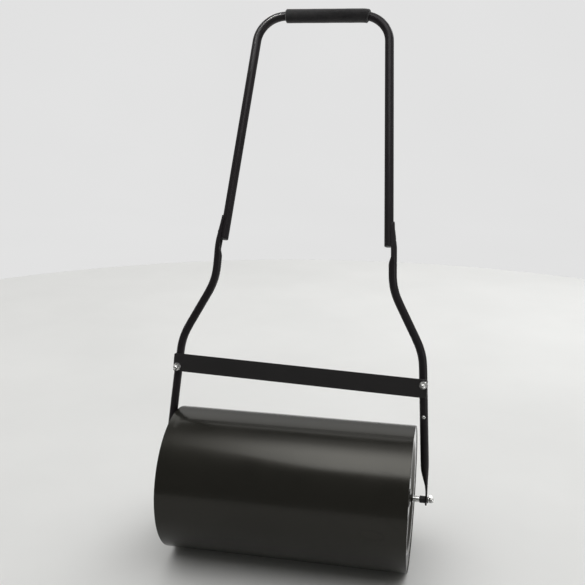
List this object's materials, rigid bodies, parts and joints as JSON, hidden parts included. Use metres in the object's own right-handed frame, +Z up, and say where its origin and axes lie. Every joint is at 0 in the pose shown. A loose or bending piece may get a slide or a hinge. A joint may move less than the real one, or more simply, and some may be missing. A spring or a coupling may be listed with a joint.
{
  "type": "lawn roller",
  "caption": "Walk-behind lawn roller: a fillable steel drum that turns on a shaft in a bolted tubular frame with a flat cross brace and a U-shaped handle with a foam grip.",
  "frame": {"origin": "on the ground under the middle of the drum, the middle of the drum's lowest facet", "axes": "+X runs along the drum's shaft to its right-hand end, +Y points to the back, the way the handle leans, +Z is up"},
  "size_m": [0.5904, 0.5124, 1.1122],
  "materials": {
    "drum_paint": "semi-gloss black enamel",
    "frame_paint": "satin black powder coat",
    "bright_zinc": "bright zinc plate",
    "black_fastener": "black oxide steel",
    "black_nylon": "moulded black nylon",
    "plug_plastic": "moulded black plastic",
    "seal_rubber": "matt black rubber",
    "grip_foam": "matt black foam rubber"
  },
  "bodies": {
    "frame": {"arm_left": "frame_paint", "arm_right": "frame_paint", "axle_bush_left": "black_nylon", "axle_bush_right": "black_nylon", "upper_handle": "frame_paint", "leg_cap_left": "black_nylon", "leg_cap_right": "black_nylon", "joint_screw_left_1": "black_fastener", "joint_screw_left_2": "black_fastener", "joint_screw_right_1": "black_fastener", "joint_screw_right_2": "black_fastener", "joint_nut_left_1": "black_fastener", "joint_nut_left_2": "black_fastener", "joint_nut_right_1": "black_fastener", "joint_nut_right_2": "black_fastener", "foam_grip": "grip_foam", "cross_brace": "frame_paint", "brace_bolt_left": "bright_zinc", "brace_bolt_right": "bright_zinc", "brace_washer_left": "bright_zinc", "brace_washer_right": "bright_zinc", "brace_nut_left": "bright_zinc", "brace_nut_right": "bright_zinc", "arm_screw": "bright_zinc"},
    "drum": {"drum_shell": "drum_paint", "drum_end_left": "drum_paint", "drum_end_right": "drum_paint", "hub_left": "drum_paint", "hub_right": "drum_paint", "filler_neck": "drum_paint", "axle_shaft": "bright_zinc", "axle_washer_left": "bright_zinc", "axle_washer_right": "bright_zinc", "axle_nut_left": "bright_zinc", "axle_nut_right": "bright_zinc"},
    "plug": {"filler_plug": "plug_plastic", "plug_seal": "seal_rubber"}
  },
  "joints": [
    {"name": "drum_spin", "type": "hinge", "parent": "frame", "child": "drum", "pos_m": [0, 0, 0.14742], "axis": [1, 0, 0], "continuous": true},
    {"name": "plug_pull", "type": "slide", "parent": "drum", "child": "plug", "axis": [-1, 0, 0], "range_m": [0, 0.0105]}
  ]
}
